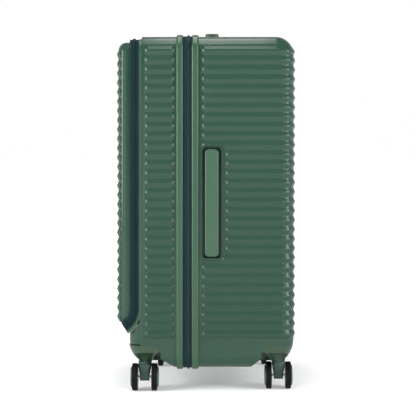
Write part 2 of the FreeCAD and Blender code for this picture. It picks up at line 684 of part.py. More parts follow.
def zip_pull(side, centre_y, coil_top):
    """A pull tab that lies away from the middle of the case, with an eye round the slider's bar."""
    x = side * SLIDER_X
    bar_z = coil_top + SLIDER_GAP + 5.0
    half_eye = 2.2
    eye = cylinder(2.1, V(x, centre_y - half_eye, bar_z), V(x, centre_y + half_eye, bar_z))
    reach = x + side * PULL_LENGTH
    neck = box(x, x + side * 10, centre_y - half_eye, centre_y + half_eye, bar_z - 0.9, bar_z + 0.9)
    x_low, x_high = sorted((x + side * 8, reach))
    tab = plate_xy(x_low, x_high, centre_y - 4.5, centre_y + 4.5, 3, bar_z - 1.1, bar_z + 1.1)
    hole = cylinder(PULL_BAR_RADIUS + PIN_CLEARANCE, V(x, centre_y - 5, bar_z), V(x, centre_y + 5, bar_z))
    window = plate_xy(*sorted((reach - side * 3, reach - side * 12)), centre_y - 2, centre_y + 2, 1.5,
                      bar_z - 3, bar_z + 3)
    pull = fuse([eye, neck, tab]).cut(hole).cut(window)
    pull.rotate(V(x, centre_y, bar_z), V(0, side, 0), PULL_DROOP_DEG)
    return pull


# ---------------------------------------------------------------- case parts

def main_zip(way):
    """One half of the main zip: tape from the bumper to the parting line with half of the coil on it."""
    edge = REAR_BUMPER_Y[0] if way > 0 else FRONT_BUMPER_Y[1]
    near = PARTING_Y + way * PARTING_GAP / 2
    y0, y1 = sorted((near, edge))
    tape = case_ring(ZIP_PROUD, ZIP_PROUD - ZIP_TAPE, y0, y1)
    c0, c1 = sorted((near, near + way * COIL_WIDTH))
    coil = case_ring(ZIP_PROUD + COIL_HEIGHT, ZIP_PROUD - 0.5, c0, c1)
    hinge_side = box(-CASE_HALF_X - 20, -CASE_HALF_X + 20, c0 - 1, c1 + 1, 0, 800)
    return fuse([tape, coil.cut(hinge_side)])


def bumper(y_range, shell_way):
    """Frame that clamps the edge of a shell; shell_way says on which side the shell enters it."""
    y0, y1 = y_range
    block = case_section(BUMPER_PROUD, y0, y1)
    block = block.makeFillet(BUMPER_EDGE_RADIUS, edges_at(block, "y", y0) + edges_at(block, "y", y1))
    frame = block.cut(case_section(-LINING_INSET, y0 - 1, y1 + 1))
    start = y1 - SHELL_TONGUE if shell_way > 0 else y0 - 1
    end = y1 + 1 if shell_way > 0 else y0 + SHELL_TONGUE
    return frame.cut(case_ring(0, -SHELL_WALL, start, end))


def side_feet(row):
    """Two round studs on the hinge side that the case rests on when it lies down."""
    feet = []
    for z in FOOT_Z:
        base = V(-CASE_HALF_X, FOOT_Y[row], z)
        foot = cylinder(FOOT_RADIUS, base, base + V(-FOOT_HEIGHT, 0, 0))
        feet.append(foot.makeFillet(4, edges_at(foot, "x", -CASE_HALF_X - FOOT_HEIGHT)))
    return feet


def foot_pads(row, grow):
    """Round clearings in the ribs for the side feet."""
    clearings = []
    for z in FOOT_Z:
        base = V(-CASE_HALF_X + 5, FOOT_Y[row], z)
        clearings.append(cylinder(FOOT_PAD_RADIUS + grow, base, base + V(-20, 0, 0)))
    return Part.makeCompound(clearings)


def handle_pad(grow):
    """The clearing in the ribs round the side handle."""
    half_v, half_w, radius = HANDLE_PAD
    return side_handle_place(local_plate(half_v + grow, half_w + grow, radius + grow, -5, 20))


def both_sides(shape):
    return [shape, mirrored_x(shape)]


def build():
    case = case_body(0)
    inside = case_body(-SHELL_WALL)
    lining_outside = case_body(-LINING_INSET)
    lining_inside = case_body(-LINING_INSET - LINING_WALL)
    parts = {}

    # pockets in the four corners for the caster housings
    pockets = {}
    pocket_walls = {}
    for row in ("front", "rear"):
        pockets[row] = Part.makeCompound(both_sides(housing_block(row, HOUSING_GAP)))
        pocket_walls[row] = Part.makeCompound(both_sides(housing_block(row, HOUSING_GAP + SHELL_WALL)))

    trolley, trolley_cup = trolley_parts(case)
    parts.update(trolley)

    # rear half
    rear_edge = REAR_BUMPER_Y[1] - SHELL_TONGUE
    rear_space = box(-300, 300, rear_edge, 300, 0, 800)
    rear_hollow = inside.cut(pocket_walls["rear"])
    side_hole = side_handle_place(handle_hole(0))
    top_hole = top_handle_place(handle_hole(0))
    rear_screws = []
    for screw in caster_screws("rear"):
        rear_screws += both_sides(screw)
    for x in (-60, 0, 60):
        shaft = cylinder(1.8, V(x, TROLLEY_Y, FOOT_SCREW_Z), V(x, TROLLEY_Y, FOOT_SCREW_Z + 18))
        head = cylinder(3.6, V(x, TROLLEY_Y, FOOT_SCREW_Z - 3), V(x, TROLLEY_Y, FOOT_SCREW_Z))
        rear_screws.append(fuse([shaft, head]))
    raised = case_body(RIB_HEIGHT).cut(case)
    behind = case_body(RIB_HEIGHT - SHELL_WALL).cut(inside)
    rear_ribs = rib_field(raised, REAR_RIBS_Y, CASE_RIBS_Z).cut(handle_pad(0)).cut(foot_pads("rear", 0))
    rear_room = rib_field(behind, REAR_RIBS_Y, CASE_RIBS_Z, SHELL_WALL)
    rear_room = rear_room.cut(handle_pad(SHELL_WALL)).cut(foot_pads("rear", SHELL_WALL))
    rear_shell = case.common(rear_space).cut(rear_hollow).cut(pockets["rear"]).fuse(rear_ribs)
    rear_shell = rear_shell.cut(rear_room)
    rear_shell = rear_shell.cut(side_hole).cut(top_hole).cut(trolley_cup)
    for screw in rear_screws:
        rear_shell = rear_shell.cut(screw)
    parts["rear_shell"] = [rear_shell]
    parts["rear_bumper"] = [bumper(REAR_BUMPER_Y, 1)]
    parts["main_zip_rear"] = [main_zip(1)]
    parts["handle_trays"] = [side_handle_place(handle_tray()), top_handle_place(handle_tray())]
    parts["rear_side_feet"] = side_feet("rear")

    back_y = TROLLEY_Y - OUTER_TUBE[1] / 2 - 3
    lining_space = box(-300, 300, rear_edge, back_y, 0, 800)
    lining_hollow = lining_inside.common(box(-300, 300, -200, back_y - LINING_WALL, 0, 800))
    lining = lining_outside.common(lining_space).cut(lining_hollow)
    lining = lining.cut(pocket_walls["rear"].common(box(-300, 300, 0, 300, 0, 800)))
    corner = box(HOUSING_X[0] - 12, 260, WELL_RAMP_Y["rear"][0] - 4, 260, 0, HOUSING_TOP_Z + 12)
    for block in both_sides(corner):
        lining = lining.cut(block)
    lining = lining.cut(side_handle_place(handle_hole(1.5))).cut(top_handle_place(handle_hole(1.5)))
    lining = lining.cut(box(-RECESS_HALF_X - 10, RECESS_HALF_X + 10, RECESS_Y[0] - 6, 200, 689, 760))
    parts["rear_lining"] = [lining]

    housing = caster_housing("rear", case)
    for screw in caster_screws("rear"):
        housing = housing.cut(screw)
    parts["rear_caster_housings"] = both_sides(housing)
    foot = parts["trolley_foot"][0]
    for screw in rear_screws:
        foot = foot.cut(screw)
    parts["trolley_foot"] = [foot]
    parts["rear_fasteners"] = rear_screws

    # front half
    front_edge = FRONT_BUMPER_Y[0] + SHELL_TONGUE
    front_space_box = box(-300, 300, -300, front_edge, 0, 800)
    front_hollow = inside.cut(pocket_walls["front"]).cut(front_space(SHELL_RIM_R + SHELL_WALL))
    mouth = plate_xz(-POCKET_HALF_X + 7, POCKET_HALF_X - 7, LID_BOTTOM_Z + 4, POCKET_TOP_Z - 7,
                     POCKET_RADIUS - 7, -300, -110)
    lock = lock_parts()
    lock_hole = plate_xy(-LOCK_HALF_X, LOCK_HALF_X, LOCK_Y[0], LOCK_Y[1], 6, LOCK_Z[0], LOCK_Z[1] + 10)
    front_screws = []
    for screw in caster_screws("front"):
        front_screws += both_sides(screw)
    front_ribs = rib_field(raised, FRONT_RIBS_Y, CASE_RIBS_Z).cut(foot_pads("front", 0))
    front_room = rib_field(behind, FRONT_RIBS_Y, CASE_RIBS_Z, SHELL_WALL).cut(foot_pads("front", SHELL_WALL))
    front_shell = case.common(front_space_box).cut(front_space(SHELL_RIM_R)).cut(front_hollow)
    front_shell = front_shell.fuse(front_ribs).cut(front_room)
    front_shell = front_shell.cut(mouth).cut(pockets["front"]).cut(lock_hole)
    for screw in front_screws:
        front_shell = front_shell.cut(screw)
    parts["front_shell"] = [front_shell]
    parts["front_bumper"] = [bumper(FRONT_BUMPER_Y, -1)]
    parts["main_zip_front"] = [main_zip(-1)]
    parts["front_side_feet"] = side_feet("front")
    housing = caster_housing("front", case)
    for screw in caster_screws("front"):
        housing = housing.cut(screw)
    parts["front_caster_housings"] = both_sides(housing)
    parts["front_fasteners"] = front_screws
    divider_y = FRONT_BUMPER_Y[1]
    divider = case_section(-LINING_INSET, divider_y - 3, divider_y)
    parts["front_divider"] = [divider]
    parts.update(lock)

    # pocket zip and lid
    gap = PARTING_GAP / 2
    coil_grow = COIL_HEIGHT
    case_tape = pocket_band(POCKET_COIL_R + gap, TAPE_EDGE_R, 0, ZIP_TAPE)
    case_coil = pocket_band(POCKET_COIL_R + gap, POCKET_COIL_R + COIL_WIDTH, coil_grow, COIL_HEIGHT + 0.5)
    rim = pocket_band(TAPE_EDGE_R, SHELL_RIM_R, 1.5, 6)
    parts["pocket_zip_case"] = [fuse([case_tape, case_coil]), rim]
    lid_tape = pocket_band(LID_EDGE_R, POCKET_COIL_R - gap, 0, ZIP_TAPE)
    lid_coil = pocket_band(POCKET_COIL_R - COIL_WIDTH, POCKET_COIL_R - gap, coil_grow, COIL_HEIGHT + 0.5)
    parts["pocket_zip_lid"] = [fuse([lid_tape, lid_coil])]

    def lid_block(grow):
        """The lid's rounded block, grown outwards by grow."""
        half = LID_HALF_X + grow
        block = plate_xz(-half, half, LID_BOTTOM_Z - grow, LID_TOP_Z + grow, LID_CORNER_RADIUS + grow,
                         LID_FRONT_Y - grow, -120)
        block = block.makeFillet(LID_FACE_RADIUS + grow, edges_at(block, "y", LID_FRONT_Y - grow))
        return block.common(pocket_zone(LID_EDGE_R, POCKET_BEND_DEG).fuse(
            front_space(LID_EDGE_R)))

    lid_depths = (-300, LID_RIBS_BACK_Y)
    lid_ribs = rib_field(lid_block(RIB_HEIGHT).cut(lid_block(0)), lid_depths, LID_RIBS_Z)
    lid_room = lid_block(RIB_HEIGHT - LID_WALL).cut(lid_block(-LID_WALL))
    lid_room = rib_field(lid_room, lid_depths, LID_RIBS_Z, LID_WALL)
    lid = lid_block(0).cut(lid_block(-LID_WALL)).fuse(lid_ribs).cut(lid_room)
    parts["lid_shell"] = [lid]
    lid_panel = plate_xz(-LID_HALF_X + 22, LID_HALF_X - 22, LID_BOTTOM_Z + 30, LID_TOP_Z - 22, 12,
                         LID_FRONT_Y + LID_WALL + 0.5, LID_FRONT_Y + LID_WALL + 2)
    parts["lid_lining"] = [lid_panel]

    # sliders
    main_coil_top = CASE_TOP_Z + ZIP_PROUD + COIL_HEIGHT
    pocket_coil_top = POCKET_TOP_Z + COIL_HEIGHT
    pocket_coil_y = POCKET_BEND_Y + POCKET_COIL_R
    for number, side in ((1, -1), (2, 1)):
        parts[f"main_slider_{number}"] = [zip_slider(side, PARTING_Y, main_coil_top, 1)]
        parts[f"main_pull_{number}"] = [zip_pull(side, PARTING_Y, main_coil_top)]
        parts[f"pocket_slider_{number}"] = [zip_slider(side, pocket_coil_y, pocket_coil_top, 1)]
        parts[f"pocket_pull_{number}"] = [zip_pull(side, pocket_coil_y, pocket_coil_top)]

    # carry handles
    handles = (("side", SIDE_CROWN, side_handle_place), ("top", TOP_CROWN, top_handle_place))
    for name, crown, place in handles:
        core, cover = handle_grip(crown)
        parts[f"{name}_handle_core"] = [place(core)]
        parts[f"{name}_handle_cover"] = [place(cover)]

    # casters
    for row in ("front", "rear"):
        for side_name, side in (("left", -1), ("right", 1)):
            for part, shapes in caster_parts(row, side).items():
                parts[f"caster_{row}_{side_name}_{part}"] = shapes
    return parts


def solids_of(shapes):
    found = []
    for shape in shapes:
        found += shape.Solids
    return found


def main():
    os.makedirs("parts", exist_ok=True)
    for name, shapes in sorted(build().items()):
        solids = solids_of(shapes)
        for solid in solids:
            if not solid.isValid() or solid.Volume <= 0:
                print("bad solid in", name)
        shape = solids[0] if len(solids) == 1 else Part.makeCompound(solids)
        shape.exportStep(f"parts/{name}.step")
        size = shape.BoundBox
        print(f"{name:32s} solids {len(solids):2d} volume {shape.Volume / 1000:9.2f} cm3 "
              f"X {size.XMin:7.1f} {size.XMax:7.1f} Y {size.YMin:7.1f} {size.YMax:7.1f} "
              f"Z {size.ZMin:6.1f} {size.ZMax:6.1f}")


main()
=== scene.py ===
"""Looks of the hard shell suitcase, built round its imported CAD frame, in metres.

+Z is up, the front pocket faces -Y, the trolley is at +Y, the side handle is on +X and the hinge on -X.
The ribbed shells, zip teeth, seams, hinge tape and linings are built here; all else is the CAD's shape.
"""

import json
import math

import bmesh
import bpy
import numpy as np
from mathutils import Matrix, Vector, noise

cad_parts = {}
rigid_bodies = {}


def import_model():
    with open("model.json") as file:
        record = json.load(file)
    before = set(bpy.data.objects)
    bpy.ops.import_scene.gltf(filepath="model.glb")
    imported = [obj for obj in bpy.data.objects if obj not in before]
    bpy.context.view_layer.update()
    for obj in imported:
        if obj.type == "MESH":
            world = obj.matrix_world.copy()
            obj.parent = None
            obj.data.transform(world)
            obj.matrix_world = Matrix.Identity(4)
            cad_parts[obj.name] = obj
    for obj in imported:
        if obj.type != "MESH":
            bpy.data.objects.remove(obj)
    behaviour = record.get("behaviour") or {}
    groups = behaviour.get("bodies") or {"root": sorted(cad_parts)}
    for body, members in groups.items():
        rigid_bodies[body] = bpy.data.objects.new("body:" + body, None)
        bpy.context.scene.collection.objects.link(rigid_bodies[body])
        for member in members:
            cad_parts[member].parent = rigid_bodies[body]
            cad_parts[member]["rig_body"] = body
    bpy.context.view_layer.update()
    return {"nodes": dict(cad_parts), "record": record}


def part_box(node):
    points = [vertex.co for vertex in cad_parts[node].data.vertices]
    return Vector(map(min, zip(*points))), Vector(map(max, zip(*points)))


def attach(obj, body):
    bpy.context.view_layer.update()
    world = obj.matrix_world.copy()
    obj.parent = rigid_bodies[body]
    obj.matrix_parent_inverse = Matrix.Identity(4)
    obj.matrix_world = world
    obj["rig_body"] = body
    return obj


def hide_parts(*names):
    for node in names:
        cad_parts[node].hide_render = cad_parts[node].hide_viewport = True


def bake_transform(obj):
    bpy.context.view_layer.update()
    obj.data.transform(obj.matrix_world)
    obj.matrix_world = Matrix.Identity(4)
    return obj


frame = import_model()
MM = 0.001

# Smooth case at the foot of the ribs: faces from the frame, corner radii as designed
RIB_HEIGHT = 3 * MM
CASE_HALF_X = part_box("rear_shell")[1].x - RIB_HEIGHT
CASE_BACK_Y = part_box("rear_shell")[1].y - RIB_HEIGHT
CASE_FRONT_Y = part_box("front_caster_housings")[0].y
CASE_BOTTOM_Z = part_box("rear_shell")[0].z
CASE_TOP_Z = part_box("front_shell")[1].z
BOTTOM_RADIUS = 60 * MM
TOP_RADIUS = 37 * MM
FRONT_TOP_RADIUS = 30 * MM
SIDE_RADIUS = 28 * MM
LINING_INSET = 7 * MM

# Lid of the front pocket
LID_HALF_X = 198 * MM
LID_FRONT_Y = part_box("lid_shell")[0].y + RIB_HEIGHT
LID_Z = (134 * MM, 720 * MM)
LID_CORNER_RADIUS = 24 * MM
LID_FACE_RADIUS = 16 * MM
LID_ROUTE_RADIUS = 6 * MM

# Ribbed fields, and the ribs in them: top crest, spacing, number
CASE_FIELD_Z = (111.5 * MM, 711 * MM)
REAR_FIELD_Y = -9 * MM
FRONT_FIELD_Y = (-126 * MM, -64.5 * MM)
LID_FIELD_Z = (145 * MM, 704 * MM)
LID_FIELD_Y = -173 * MM
CASE_RIBS = (701.6 * MM, 19.36 * MM, 31)
LID_RIBS = (694.3 * MM, 19.29 * MM, 29)
RIB_END = 6 * MM
FIELD_MARGIN = 1.2 * MM
FIELD_TUCK = 0.3 * MM
WAVE_SHARE = 0.35
FLANK = (0.1, 0.9)
PANEL_RISE = 0.2 * MM

# Grid of a ribbed sheet: its steps, and how far the fine ones reach round rib ends, edges and corners
COARSE_STEP = 9 * MM
END_STEP = 1.2 * MM
CORNER_STEP = 2.2 * MM
EDGE_STEP = 0.6 * MM
ROWS_PER_RIB = 12
END_REACH = RIB_END + 3 * MM
FIELD_EDGE_REACH = 1.5 * MM
PAD_EDGE_REACH = 1.8 * MM
CORNER_EASE = 10 * MM
HALVINGS = 24

# Clearings in the ribs: half width, half height and corner radius
HANDLE_PAD = (27.5 * MM, 116.5 * MM, 15 * MM)
FOOT_PAD = (20 * MM, 20 * MM, 20 * MM)

# Zips
PARTING_Y = -36 * MM
COIL_WIDTH = 2.4 * MM
COIL_FOOT = 1.2 * MM
MAIN_TAPE_PROUD = 1.0 * MM
COIL_HEIGHT = 1.9 * MM
TOOTH_GAP = 0.3 * MM
TOOTH_PITCH = 2.4 * MM
TOOTH = (1.4 * MM, 2.0 * MM, 0.5 * MM)
STITCH_PITCH = 4.0 * MM
STITCH = (2.8 * MM, 0.6 * MM, 0.35 * MM)
MAIN_SEAM = 5.2 * MM
DIVIDER_ZIP_INSET = 16 * MM
DIVIDER_SEAM_INSET = 5 * MM
DIVIDER_CORNER_RADIUS = SIDE_RADIUS - LINING_INSET + 2 * MM
DIVIDER_TOOTH = (1.4 * MM, 4.4 * MM, 0.8 * MM)
HINGE_TAPE_Y = (-30.5 * MM, -46 * MM)
HINGE_TAPE_THICKNESS = 0.6 * MM
POCKET_HALF_X = 203 * MM
POCKET_TOP_Z = 725.5 * MM
POCKET_RADIUS = 24 * MM
POCKET_BEND = (-193.4 * MM, 173.4 * MM)
POCKET_BEND_ANGLE = math.radians(57)
POCKET_COIL_R = 45 * MM
TAPE_EDGE_R = 56.25 * MM
POCKET_SEAM_R = {"case": 54.5 * MM, "lid": 38.3 * MM}

# Casters
TYRE_INNER_RADIUS = 21.5 * MM

# Linings: grid of the cloth, size of its folds and creases, and how it is held at walls and edges
CLOTH_GRID = 14 * MM
FOLD_SIZE = 55 * MM
CREASE_SIZE = 16 * MM
FOLD_SHARE = 0.65
WALL_REACH = 8 * MM
RIM_HOLD = (4 * MM, 40 * MM)
EDGE_HOLD = 45 * MM

# Textures shared by all materials: spread of a noise value, size of colour drift and of smears
NOISE_SPREAD = (0.3, 0.7)
DRIFT_SIZE = 90 * MM
SMEAR_SIZE = 25 * MM
SMEAR = 0.04
COAT_ROUGHNESS = 0.12

# Studio: the floor's own glow rises with distance; the world dims above and towards the camera
FLOOR_RADIUS = 30
FLOOR_GLOW = (0.20, 0.80)
FLOOR_GLOW_REACH = (0.35, 2.2)
WORLD_STRENGTH = (0.85, 0.14)
WORLD_ABOVE = (0.3, 0.9)
WORLD_ABOVE_SHARE = 0.55
WORLD_NEAR = (0.90, 0.98)
CASE_MIDDLE = (0, 0, 0.4)
AREA_LIGHTS = {
    # place, target, size, watts
    "top_softbox": ((0.45, 0, 2.75), (0.35, 0, 0), (0.46, 2.6), 27),
    "near_strip": ((2.55, -0.80, 0.75), CASE_MIDDLE, (0.20, 1.5), 10),
    "left_softbox": ((1.3, -2.3, 1.05), CASE_MIDDLE, (1.4, 1.7), 80),
    "right_softbox": ((1.3, 2.3, 1.05), CASE_MIDDLE, (1.2, 1.7), 50),
    "right_strip": ((2.3, 1.30, 0.75), CASE_MIDDLE, (0.20, 1.6), 11),
}
CAMERA_PLACE = (3.126, 0.0246, 0.525)
CAMERA_LENS = 123.4
CAMERA_SHIFT = (-0.024, -0.171)


# ---------------------------------------------------------------- distances to the smooth shapes

def rounded_join(a, b, radius):
    """Signed distance to two faces that meet in a round edge, from the signed distance to each face."""
    over_a = a + radius
    over_b = b + radius
    outside = np.hypot(np.maximum(over_a, 0), np.maximum(over_b, 0))
    return outside + np.minimum(np.maximum(over_a, over_b), 0) - radius


def rounded_rectangle(u, v, box, radius):
    """Signed distance to the outline of a rounded rectangle; box is (u0, u1, v0, v1)."""
    u0, u1, v0, v1 = box
    return rounded_join(np.abs(u - (u0 + u1) / 2) - (u1 - u0) / 2,
                        np.abs(v - (v0 + v1) / 2) - (v1 - v0) / 2, radius)


def case_distance(x, y, z):
    """How far a point lies outside the smooth case."""
    middle = (CASE_BOTTOM_Z + CASE_TOP_Z) / 2
    top_radius = np.where(y > 0, TOP_RADIUS, FRONT_TOP_RADIUS)
    radius = np.where(z > middle, top_radius, BOTTOM_RADIUS)
    side_view = rounded_rectangle(y, z, (CASE_FRONT_Y, CASE_BACK_Y, CASE_BOTTOM_Z, CASE_TOP_Z), radius)
    return rounded_join(side_view, np.abs(x) - CASE_HALF_X, SIDE_RADIUS)


def lid_distance(x, y, z):
    """How far a point lies outside the smooth lid."""
    front_view = rounded_rectangle(x, z, (-LID_HALF_X, LID_HALF_X, *LID_Z), LID_CORNER_RADIUS)
    return rounded_join(front_view, LID_FRONT_Y - y, LID_FACE_RADIUS)


# ---------------------------------------------------------------- mesh helpers

def mesh_object(name, vertices, faces, materials, sharp_deg=35):
    """A new smooth-shaded mesh object whose edges over an angle stay sharp."""
    mesh = bpy.data.meshes.new(name)
    mesh.from_pydata([tuple(v) for v in vertices], [], faces)
    for material in materials:
        mesh.materials.append(material)
    obj = bpy.data.objects.new(name, mesh)
    bpy.context.scene.collection.objects.link(obj)
    finish_mesh(obj, sharp_deg)
    return obj


def finish_mesh(obj, sharp_deg):
    """Joins corner points that meet, turns all faces outwards and shades the mesh smooth."""
    work = bmesh.new()
    work.from_mesh(obj.data)
    bmesh.ops.remove_doubles(work, verts=work.verts, dist=0.01 * MM)
    bmesh.ops.recalc_face_normals(work, faces=work.faces)
    work.to_mesh(obj.data)
    work.free()
    obj.data.shade_smooth()
    obj.data.set_sharp_from_angle(angle=math.radians(sharp_deg))


def placed(obj, body):
    """Makes a new piece ride on its body."""
    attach(obj, body)
    return obj


def node_arrays(node):
    """Corner points and triangles of a CAD node."""
    mesh = frame["nodes"][node].data
    points = np.array([v.co for v in mesh.vertices])
    triangles = np.array([tuple(p.vertices) for p in mesh.polygons])
    return points, triangles


def weighted_normals(obj):
    """Keeps wide faces flat to the eye where small round ones join them."""
    modifier = obj.modifiers.new("weighted_normals", "WEIGHTED_NORMAL")
    modifier.keep_sharp = True


# ---------------------------------------------------------------- materials

def new_material(name):
    material = bpy.data.materials.new(name)
    material.use_nodes = True
    return material, material.node_tree.nodes, material.node_tree.links


def noise_texture(nodes, links, coordinates, size, detail=3.0):
    texture = nodes.new("ShaderNodeTexNoise")
    texture.inputs["Scale"].default_value = 1 / size
    texture.inputs["Detail"].default_value = detail
    links.new(coordinates, texture.inputs["Vector"])
    return texture.outputs["Fac"]


def mapped(nodes, links, value, low, high):
    """A noise value, which keeps within a narrow spread, drawn out over low to high."""
    spread = nodes.new("ShaderNodeMapRange")
    spread.inputs["From Min"].default_value = NOISE_SPREAD[0]
    spread.inputs["From Max"].default_value = NOISE_SPREAD[1]
    spread.inputs["To Min"].default_value = low
    spread.inputs["To Max"].default_value = high
    links.new(value, spread.inputs["Value"])
    return spread.outputs["Result"]


def thread_waves(nodes, links, coordinates, thread):
    """Threads that cross each other on any face: the sum of one wave along each axis.

    At a scale of 1 the texture's own period is pi / 10.
    """
    total = None
    for direction in ("X", "Y", "Z"):
        wave = nodes.new("ShaderNodeTexWave")
        wave.bands_direction = direction
        wave.inputs["Scale"].default_value = math.pi / 10 / thread
        wave.inputs["Distortion"].default_value = 0.6
        wave.inputs["Detail"].default_value = 1.0
        links.new(coordinates, wave.inputs["Vector"])
        if total is None:
            total = wave.outputs["Fac"]
            continue
        add = nodes.new("ShaderNodeMath")
        add.operation = "ADD"
        links.new(total, add.inputs[0])
        links.new(wave.outputs["Fac"], add.inputs[1])
        total = add.outputs["Value"]
    return total


def surface(name, colour, roughness, grain, depth, patch=0.05, metallic=0.0, coat=0.0, sheen=0.0,
            gloss=0.5, thread=None):
    """A moulded, metal or woven surface.

    grain and depth are the size and height of its texture, patch the share by which its colour
    drifts from place to place, gloss its mirror-like share, and thread the spacing of a weave.
    """
    material, nodes, links = new_material(name)
    shader = nodes["Principled BSDF"]
    shader.inputs["Metallic"].default_value = metallic
    shader.inputs["Coat Weight"].default_value = coat
    shader.inputs["Coat Roughness"].default_value = COAT_ROUGHNESS
    shader.inputs["Sheen Weight"].default_value = sheen
    shader.inputs["Specular IOR Level"].default_value = gloss
    coordinates = nodes.new("ShaderNodeTexCoord").outputs["Object"]

    tint = nodes.new("ShaderNodeHueSaturation")
    tint.inputs["Color"].default_value = (*colour, 1)
    drift = noise_texture(nodes, links, coordinates, DRIFT_SIZE)
    links.new(mapped(nodes, links, drift, 1 - patch, 1 + patch), tint.inputs["Value"])
    links.new(tint.outputs["Color"], shader.inputs["Base Color"])

    smear = noise_texture(nodes, links, coordinates, SMEAR_SIZE)
    smeared = mapped(nodes, links, smear, roughness - SMEAR, roughness + SMEAR)
    links.new(smeared, shader.inputs["Roughness"])

    height = noise_texture(nodes, links, coordinates, grain, 2.0)
    if thread:
        height = thread_waves(nodes, links, coordinates, thread)
    bump = nodes.new("ShaderNodeBump")
    bump.inputs["Strength"].default_value = 1.0
    bump.inputs["Distance"].default_value = depth
    links.new(height, bump.inputs["Height"])
    links.new(bump.outputs["Normal"], shader.inputs["Normal"])
    return material


SHELL_GREEN = (0.016, 0.045, 0.030)
TRIM_GREEN = (0.010, 0.047, 0.020)
HOUSING_GREEN = (0.010, 0.034, 0.014)
NAVY = (0.0015, 0.016, 0.019)
NEAR_BLACK = (0.012, 0.014, 0.013)

MATERIALS = {
    "shell": surface("shell_polycarbonate", SHELL_GREEN, 0.16, 0.5 * MM, 0.002 * MM, patch=0.03,
                     coat=0.05, gloss=0.22),
    "bumper": surface("bumper_plastic", TRIM_GREEN, 0.34, 0.7 * MM, 0.012 * MM),
    "zip_tape": surface("zip_tape_weave", NAVY, 0.70, 1.0 * MM, 0.10 * MM, patch=0.12, sheen=0.01,
                        gloss=0.12, thread=0.9 * MM),
    "lining": surface("lining_cloth", (0.060, 0.068, 0.070), 0.85, 1.0 * MM, 0.08 * MM, patch=0.10,
                      sheen=0.3, thread=0.7 * MM),
    "tube": surface("tube_aluminium", (0.60, 0.61, 0.63), 0.30, 0.5 * MM, 0.004 * MM, metallic=1.0),
    "black_plastic": surface("black_plastic", NEAR_BLACK, 0.45, 0.6 * MM, 0.02 * MM),
    "housing": surface("housing_plastic", HOUSING_GREEN, 0.42, 0.6 * MM, 0.03 * MM),
    "fork": surface("fork_plastic", (0.012, 0.042, 0.030), 0.50, 0.8 * MM, 0.05 * MM, patch=0.12),
    "wheel": surface("tyre_rubber", (0.004, 0.004, 0.004), 0.70, 0.7 * MM, 0.03 * MM, gloss=0.1),
    # Handle core: a darker green under the green cover, partly a two-tone handle and partly painted
    # shade, so the ends and sides of the handles look shaded
    "handle_core": surface("handle_core_painted_shade", (0.010, 0.030, 0.018), 0.40, 0.6 * MM, 0.02 * MM),
    "handle_cover": surface("handle_cover_plastic", (0.016, 0.058, 0.029), 0.38, 0.7 * MM, 0.012 * MM),
    "steel": surface("zinc_steel", (0.42, 0.43, 0.44), 0.35, 0.4 * MM, 0.01 * MM, metallic=1.0),
    "lock": surface("lock_plastic", (0.030, 0.072, 0.048), 0.40, 0.5 * MM, 0.015 * MM),
    "chrome": surface("chrome", (0.72, 0.73, 0.74), 0.14, 0.5 * MM, 0.002 * MM, metallic=1.0),
    "puller": surface("puller_paint", (0.020, 0.050, 0.055), 0.38, 0.5 * MM, 0.01 * MM, coat=0.2),
    "foot": surface("foot_rubber", (0.045, 0.105, 0.070), 0.60, 0.7 * MM, 0.03 * MM),
}
COIL = surface("zip_coil", (0.003, 0.012, 0.016), 0.45, 0.4 * MM, 0.02 * MM, gloss=0.3)
THREAD = surface("sewing_thread", (0.014, 0.052, 0.062), 0.80, 0.2 * MM, 0.02 * MM, sheen=0.3)
HUB = surface("hub_plastic", (0.045, 0.080, 0.070), 0.45, 0.6 * MM, 0.03 * MM)


def dress_nodes():
    """Gives every CAD node the finish of its slot in the record."""
    for part in frame["record"]["subparts"]:
        obj = frame["nodes"][part["node"]]
        obj.data.materials.clear()
        obj.data.materials.append(MATERIALS[part["material_slot"]])


def paint_faces(node, material, chosen):
    """Gives some faces of a CAD node a second finish; chosen tests their middles."""
    mesh = frame["nodes"][node].data
    mesh.materials.append(material)
    index = len(mesh.materials) - 1
    for face in mesh.polygons:
        if chosen(face.center):
            face.material_index = index


def bend_radius(y, z):
    """Distance of a point from the line round which the pocket zip bends, level above it."""
    bend_y, bend_z = POCKET_BEND
    if z > bend_z:
        return y - bend_y
    return math.hypot(y - bend_y, z - bend_z)


def paint_details():
    """The rim of the pocket, the coils of the main zip and the hubs of the wheels."""
    paint_faces("pocket_zip_case", MATERIALS["bumper"], lambda p: bend_radius(p.y, p.z) > TAPE_EDGE_R)
    for node in ("main_zip_rear", "main_zip_front"):
        paint_faces(node, COIL, lambda p: abs(p.y - PARTING_Y) < COIL_WIDTH
                    and case_distance(p.x, p.y, p.z) > COIL_FOOT)
    for node in frame["nodes"]:
        if "_wheel_" in node:
            low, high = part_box(node)
            axle = (low + high) / 2
            paint_faces(node, HUB, lambda p: math.hypot(p.x - axle.x, p.z - axle.z) < TYRE_INNER_RADIUS)


# ---------------------------------------------------------------- ribbed shells

def stations(start, end, coarse, zones):
    """Places from start to end, a coarse step apart, or closer in zones of (low, high, step)."""
    places = [start]
    while places[-1] < end - 1e-7:
        here = places[-1]
        step = min([coarse] + [fine for low, high, fine in zones if low - 1e-7 <= here < high - 1e-7])
        ahead = [low - here for low, high, fine in zones if low > here + 1e-7]
        places.append(min([here + step, end] + [here + gap for gap in ahead]))
    return np.array(places)


